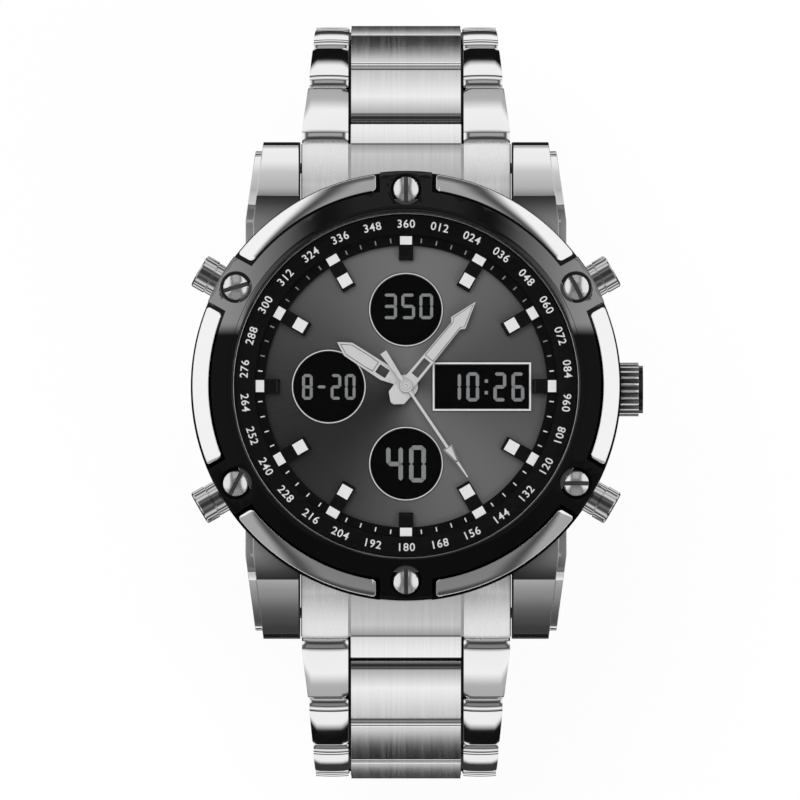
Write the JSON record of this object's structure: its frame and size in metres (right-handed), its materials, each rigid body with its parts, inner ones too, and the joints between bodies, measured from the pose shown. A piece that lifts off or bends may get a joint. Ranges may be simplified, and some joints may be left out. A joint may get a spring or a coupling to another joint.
{
  "type": "analogue digital wristwatch",
  "caption": "Steel wristwatch with hands, small display windows, a black bezel with polished inserts, push buttons and a three-row link bracelet on a folding clasp.",
  "frame": {"origin": "centre of the case back's wrist face", "axes": "+Z out of the crystal, +Y towards 12 on the dial, +X towards 3 on the dial, where the crown is"},
  "size_m": [0.0514, 0.0866, 0.0579],
  "materials": {
    "polished_steel": "polished stainless steel",
    "brushed_steel": "brushed stainless steel",
    "black_gloss": "gloss black coating",
    "black_satin": "satin black",
    "dial_grey": "sunray brushed dark grey",
    "lume_white": "luminous white",
    "display_black": "dark display panel",
    "board_green": "board varnish",
    "black_plastic": "moulded plastic",
    "brass_plate": "plain brass",
    "battery_steel": "plain steel can",
    "black_rubber": "moulded rubber",
    "crystal": "clear mineral glass"
  },
  "bodies": {
    "head": {"case_middle": "polished_steel", "bezel": "black_gloss", "bezel_inserts": "polished_steel", "bezel_screws": "polished_steel", "crystal": "crystal", "crystal_gasket": "black_rubber", "chapter_ring": "black_satin", "dial": "dial_grey", "hour_markers": "black_gloss", "marker_lume": "lume_white", "window_frames": "polished_steel", "display_panel": "display_black", "circuit_board": "board_green", "movement_holder": "black_plastic", "hand_movement": "brass_plate", "battery": "battery_steel", "case_back": "polished_steel", "case_back_gasket": "black_rubber", "case_back_screws": "brushed_steel", "crown_tube": "brushed_steel", "spring_bars": "brushed_steel", "end_link_upper": "polished_steel", "end_link_lower": "polished_steel"},
    "hour_hand": {"hour_hand": "polished_steel"},
    "minute_hand": {"minute_hand": "polished_steel"},
    "second_hand": {"second_hand": "polished_steel"},
    "setting": {"setting_lever": "brushed_steel"},
    "crown": {"crown": "polished_steel", "crown_stem": "brushed_steel"},
    "pusher_1": {"pusher_1": "polished_steel"},
    "pusher_2": {"pusher_2": "polished_steel"},
    "pusher_3": {"pusher_3": "polished_steel"},
    "pusher_4": {"pusher_4": "polished_steel"},
    "link_upper_1": {"link_upper_1": "polished_steel"},
    "link_upper_2": {"link_upper_2": "polished_steel"},
    "link_upper_3": {"link_upper_3": "polished_steel"},
    "link_upper_4": {"link_upper_4": "polished_steel"},
    "link_upper_5": {"link_upper_5": "polished_steel"},
    "link_upper_6": {"link_upper_6": "polished_steel"},
    "link_upper_7": {"link_upper_7": "polished_steel"},
    "link_lower_1": {"link_lower_1": "polished_steel"},
    "link_lower_2": {"link_lower_2": "polished_steel"},
    "link_lower_3": {"link_lower_3": "polished_steel"},
    "link_lower_4": {"link_lower_4": "polished_steel"},
    "link_lower_5": {"link_lower_5": "polished_steel"},
    "link_lower_6": {"link_lower_6": "polished_steel"},
    "link_lower_7": {"link_lower_7": "polished_steel", "clasp_spring_bar": "brushed_steel"},
    "clasp_cover": {"clasp_cover": "polished_steel"},
    "clasp_blade_outer": {"clasp_blade_outer": "brushed_steel"},
    "clasp_blade_inner": {"clasp_blade_inner": "brushed_steel"},
    "clasp_button_right": {"clasp_button_right": "polished_steel"},
    "clasp_button_left": {"clasp_button_left": "polished_steel"}
  },
  "joints": [
    {"name": "minute_turn", "type": "hinge", "parent": "head", "child": "minute_hand", "pos_m": [0, 0, 0.0115], "axis": [0, 0, -1], "continuous": true},
    {"name": "hour_turn", "type": "hinge", "parent": "head", "child": "hour_hand", "pos_m": [0, 0, 0.011], "axis": [0, 0, -1], "continuous": true},
    {"name": "second_turn", "type": "hinge", "parent": "head", "child": "second_hand", "pos_m": [0, 0, 0.012], "axis": [0, 0, -1], "continuous": true},
    {"name": "crown_pull", "type": "slide", "parent": "head", "child": "setting", "axis": [1, 0, 0], "range_m": [0, 0.0012]},
    {"name": "crown_turn", "type": "hinge", "parent": "setting", "child": "crown", "pos_m": [0.0235, 0, 0.0056], "axis": [1, 0, 0], "continuous": true},
    {"name": "pusher_1_press", "type": "slide", "parent": "head", "child": "pusher_1", "axis": [-0.866, -0.5, 0], "range_m": [0, 0.0008], "stiffness_N_per_m": 1500, "springref_m": -0.0004},
    {"name": "pusher_2_press", "type": "slide", "parent": "head", "child": "pusher_2", "axis": [0.866, -0.5, 0], "range_m": [0, 0.0008], "stiffness_N_per_m": 1500, "springref_m": -0.0004},
    {"name": "pusher_3_press", "type": "slide", "parent": "head", "child": "pusher_3", "axis": [0.866, 0.5, 0], "range_m": [0, 0.0008], "stiffness_N_per_m": 1500, "springref_m": -0.0004},
    {"name": "pusher_4_press", "type": "slide", "parent": "head", "child": "pusher_4", "axis": [-0.866, 0.5, 0], "range_m": [0, 0.0008], "stiffness_N_per_m": 1500, "springref_m": -0.0004},
    {"name": "link_upper_1_hinge", "type": "hinge", "parent": "head", "child": "link_upper_1", "pos_m": [0, 0.0289, 0.003], "axis": [1, 0, 0], "range_deg": [0, 9]},
    {"name": "link_upper_2_hinge", "type": "hinge", "parent": "link_upper_1", "child": "link_upper_2", "pos_m": [0, 0.03537, -0.0017], "axis": [1, 0, 0], "range_deg": [0, 23]},
    {"name": "link_upper_3_hinge", "type": "hinge", "parent": "link_upper_2", "child": "link_upper_3", "pos_m": [0, 0.03985, -0.00834], "axis": [1, 0, 0], "range_deg": [0, 23]},
    {"name": "link_upper_4_hinge", "type": "hinge", "parent": "link_upper_3", "child": "link_upper_4", "pos_m": [0, 0.04178, -0.0161], "axis": [1, 0, 0], "range_deg": [0, 25]},
    {"name": "link_upper_5_hinge", "type": "hinge", "parent": "link_upper_4", "child": "link_upper_5", "pos_m": [0, 0.04067, -0.02402], "axis": [1, 0, 0], "range_deg": [0, 26]},
    {"name": "link_upper_6_hinge", "type": "hinge", "parent": "link_upper_5", "child": "link_upper_6", "pos_m": [0, 0.03655, -0.03088], "axis": [1, 0, 0], "range_deg": [0, 24]},
    {"name": "link_upper_7_hinge", "type": "hinge", "parent": "link_upper_6", "child": "link_upper_7", "pos_m": [0, 0.03024, -0.0358], "axis": [1, 0, 0], "range_deg": [0, 21]},
    {"name": "link_lower_1_hinge", "type": "hinge", "parent": "head", "child": "link_lower_1", "pos_m": [0, -0.0289, 0.003], "axis": [-1, 0, 0], "range_deg": [0, 9]},
    {"name": "link_lower_2_hinge", "type": "hinge", "parent": "link_lower_1", "child": "link_lower_2", "pos_m": [0, -0.03537, -0.0017], "axis": [-1, 0, 0], "range_deg": [0, 23]},
    {"name": "link_lower_3_hinge", "type": "hinge", "parent": "link_lower_2", "child": "link_lower_3", "pos_m": [0, -0.03985, -0.00834], "axis": [-1, 0, 0], "range_deg": [0, 23]},
    {"name": "link_lower_4_hinge", "type": "hinge", "parent": "link_lower_3", "child": "link_lower_4", "pos_m": [0, -0.04178, -0.0161], "axis": [-1, 0, 0], "range_deg": [0, 25]},
    {"name": "link_lower_5_hinge", "type": "hinge", "parent": "link_lower_4", "child": "link_lower_5", "pos_m": [0, -0.04067, -0.02402], "axis": [-1, 0, 0], "range_deg": [0, 26]},
    {"name": "link_lower_6_hinge", "type": "hinge", "parent": "link_lower_5", "child": "link_lower_6", "pos_m": [0, -0.03655, -0.03088], "axis": [-1, 0, 0], "range_deg": [0, 24]},
    {"name": "link_lower_7_hinge", "type": "hinge", "parent": "link_lower_6", "child": "link_lower_7", "pos_m": [0, -0.03024, -0.0358], "axis": [-1, 0, 0], "range_deg": [0, 21]},
    {"name": "clasp_cover_hinge", "type": "hinge", "parent": "link_upper_7", "child": "clasp_cover", "pos_m": [0, 0.02273, -0.03854], "axis": [1, 0, 0], "range_deg": [0, 60]},
    {"name": "clasp_fold", "type": "hinge", "parent": "clasp_cover", "child": "clasp_blade_outer", "pos_m": [0, -0.0183, -0.0405], "axis": [1, 0, 0], "range_deg": [0, 110]},
    {"name": "blade_fold", "type": "hinge", "parent": "clasp_blade_outer", "child": "clasp_blade_inner", "pos_m": [0, 0.01909, -0.03828], "axis": [-1, 0, 0], "range_deg": [0, 62]},
    {"name": "button_right_press", "type": "slide", "parent": "clasp_cover", "child": "clasp_button_right", "axis": [-1, 0, 0], "range_m": [0, 0.0005], "stiffness_N_per_m": 1500, "springref_m": -0.0003},
    {"name": "button_left_press", "type": "slide", "parent": "clasp_cover", "child": "clasp_button_left", "axis": [1, 0, 0], "range_m": [0, 0.0005], "stiffness_N_per_m": 1500, "springref_m": -0.0003}
  ],
  "couplings": [
    {"joint": "hour_turn", "follows": "minute_turn", "ratio": 0.083333},
    {"joint": "button_left_press", "follows": "button_right_press", "ratio": 1}
  ]
}
